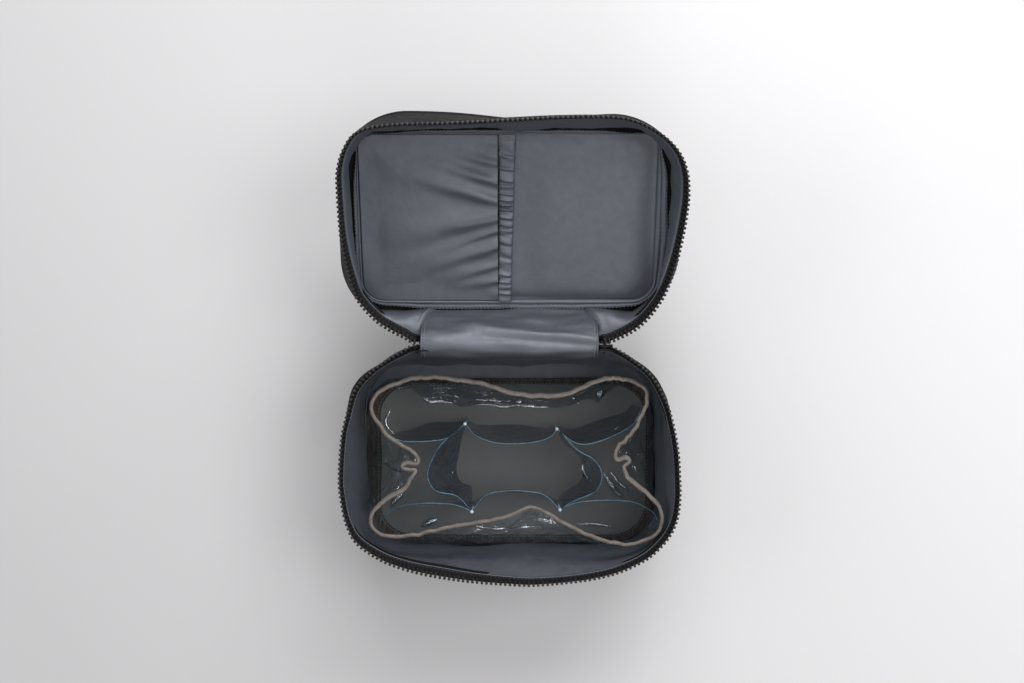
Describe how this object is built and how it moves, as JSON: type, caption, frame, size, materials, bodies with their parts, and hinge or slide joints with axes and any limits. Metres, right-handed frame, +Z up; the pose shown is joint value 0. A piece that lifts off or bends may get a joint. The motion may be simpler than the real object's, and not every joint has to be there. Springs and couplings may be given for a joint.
{
  "type": "vanity case",
  "caption": "Soft zipped travel vanity case lying open, with a pocket in its lid, lined walls, a webbing handle and a lift-out clear organiser with curved dividers.",
  "frame": {"origin": "middle of the base's bottom face, on the surface that the case stands on", "axes": "+X along the hinge to the right, +Y from the front to the hinge and on to the laid-open lid, +Z up"},
  "size_m": [0.242, 0.3238, 0.1609],
  "materials": {
    "outer_cloth": "matte woven nylon, charcoal",
    "piping": "cloth-covered cord, charcoal",
    "board": "stiff sheet",
    "foam": "thin foam",
    "lining": "satin-woven polyester, blue-grey",
    "elastic": "flat woven elastic",
    "zip_tape": "woven tape, black",
    "zip_teeth": "moulded teeth, dark bronze",
    "webbing": "woven webbing, charcoal",
    "clear_sheet": "clear soft sheet",
    "edge_tape": "ribbed binding tape, taupe",
    "slider": "die-cast, dark bronze",
    "pull": "dark bronze"
  },
  "bodies": {
    "base": {"base_outer_wall": "outer_cloth", "base_bottom_panel": "outer_cloth", "base_bottom_piping": "piping", "base_bottom_board": "board", "base_foam_wall": "foam", "base_lining_wall": "lining", "base_lining_floor": "lining", "base_seam_binding": "lining", "base_zip_tape": "zip_tape", "base_zip_teeth": "zip_teeth", "zip_end_left": "zip_tape", "zip_end_right": "zip_tape", "hinge_outer_panel": "outer_cloth", "hinge_lining_strip": "lining"},
    "lid": {"lid_outer_wall": "outer_cloth", "lid_outer_top": "outer_cloth", "lid_top_piping": "piping", "lid_top_board": "board", "lid_foam": "foam", "lid_lining_wall": "lining", "lid_panel": "lining", "lid_seam_binding": "lining", "lid_gathered_pocket": "lining", "lid_pocket_casing": "lining", "lid_pocket_elastic": "elastic", "lid_zip_tape": "zip_tape", "lid_zip_teeth": "zip_teeth", "carry_handle": "webbing"},
    "organiser": {"organiser_floor": "clear_sheet", "organiser_walls": "clear_sheet", "organiser_base_binding": "edge_tape", "organiser_rim_binding": "edge_tape", "divider_back": "clear_sheet", "divider_front": "clear_sheet", "divider_left": "clear_sheet", "divider_right": "clear_sheet"},
    "slider_left": {"slider_left": "slider"},
    "slider_right": {"slider_right": "slider"},
    "pull_left": {"pull_left": "pull"},
    "pull_right": {"pull_right": "pull"}
  },
  "joints": [
    {"name": "lid_hinge", "type": "hinge", "parent": "base", "child": "lid", "pos_m": [0, 0.08, 0.1], "axis": [-1, 0, 0], "range_deg": [-158, 0], "deforming": ["hinge_outer_panel", "hinge_lining_strip"]},
    {"name": "organiser_lift", "type": "slide", "parent": "base", "child": "organiser", "axis": [0, 0, 1], "range_m": [0, 0.12]},
    {"name": "slider_left_slide", "type": "slide", "parent": "base", "child": "slider_left", "axis": [-1, 0, 0], "range_m": [0, 0.005]},
    {"name": "slider_right_slide", "type": "slide", "parent": "base", "child": "slider_right", "axis": [1, 0, 0], "range_m": [0, 0.005]},
    {"name": "pull_left_swing", "type": "hinge", "parent": "slider_left", "child": "pull_left", "pos_m": [-0.0605, 0.0783, 0.1], "axis": [0, 1, 0], "range_deg": [-30, 30]},
    {"name": "pull_right_swing", "type": "hinge", "parent": "slider_right", "child": "pull_right", "pos_m": [0.0665, 0.0783, 0.1], "axis": [0, 1, 0], "range_deg": [-30, 30]}
  ]
}
